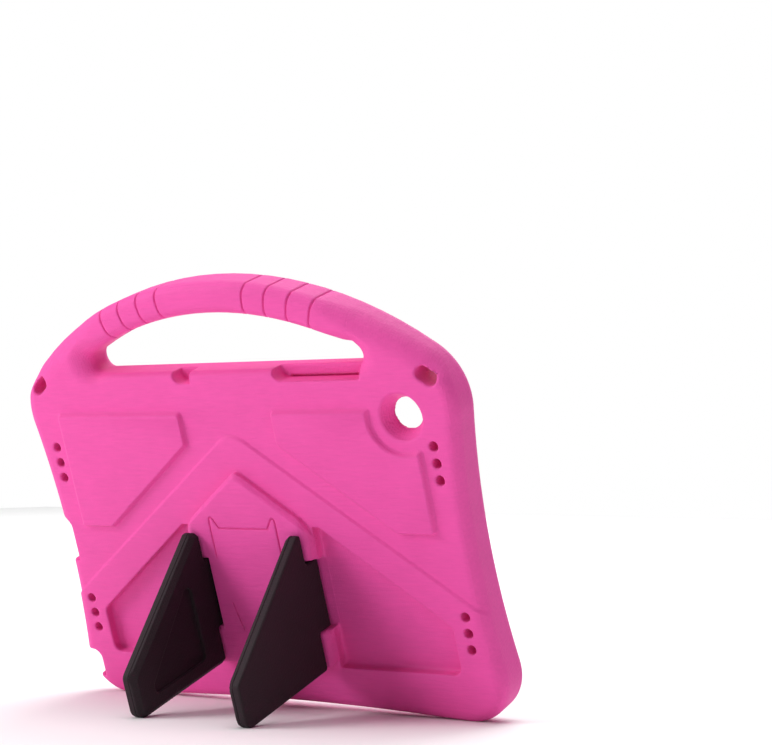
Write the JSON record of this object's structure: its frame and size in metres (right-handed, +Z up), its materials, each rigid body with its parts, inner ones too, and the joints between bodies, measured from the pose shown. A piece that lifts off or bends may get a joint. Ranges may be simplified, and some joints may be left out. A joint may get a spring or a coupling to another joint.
{
  "type": "tablet case",
  "caption": "Foam shell for a flat tablet with a carry handle and two folding legs that stand it up on its long edge.",
  "frame": {"origin": "on the ground, in the middle of the standing case's footprint box", "axes": "+X along the case's long edge, +Z up, -Y towards the side with the stand; the screen opening faces +Y and up"},
  "size_m": [0.2904, 0.1175, 0.2366],
  "materials": {
    "foam": "matte moulded EVA foam with a fine ribbed grain",
    "plate": "satin moulded nylon",
    "pin": "ground",
    "core": "satin moulded nylon",
    "pad": "matte moulded EVA foam"
  },
  "bodies": {
    "case": {"foam_body": "foam", "hinge_plate": "plate", "left_hinge_pin": "pin", "right_hinge_pin": "pin"},
    "left_leg": {"left_leg_core": "core", "left_leg_inner_pad": "pad", "left_leg_outer_pad": "pad"},
    "right_leg": {"right_leg_core": "core", "right_leg_inner_pad": "pad", "right_leg_outer_pad": "pad"}
  },
  "joints": [
    {"name": "left_leg_fold", "type": "hinge", "parent": "case", "child": "left_leg", "pos_m": [-0.035, 0.00417, 0.0915], "axis": [0, -0.3379, 0.9412], "range_deg": [-90, 0]},
    {"name": "right_leg_fold", "type": "hinge", "parent": "case", "child": "right_leg", "pos_m": [0.035, 0.00417, 0.0915], "axis": [0, -0.3379, 0.9412], "range_deg": [0, 90]}
  ]
}
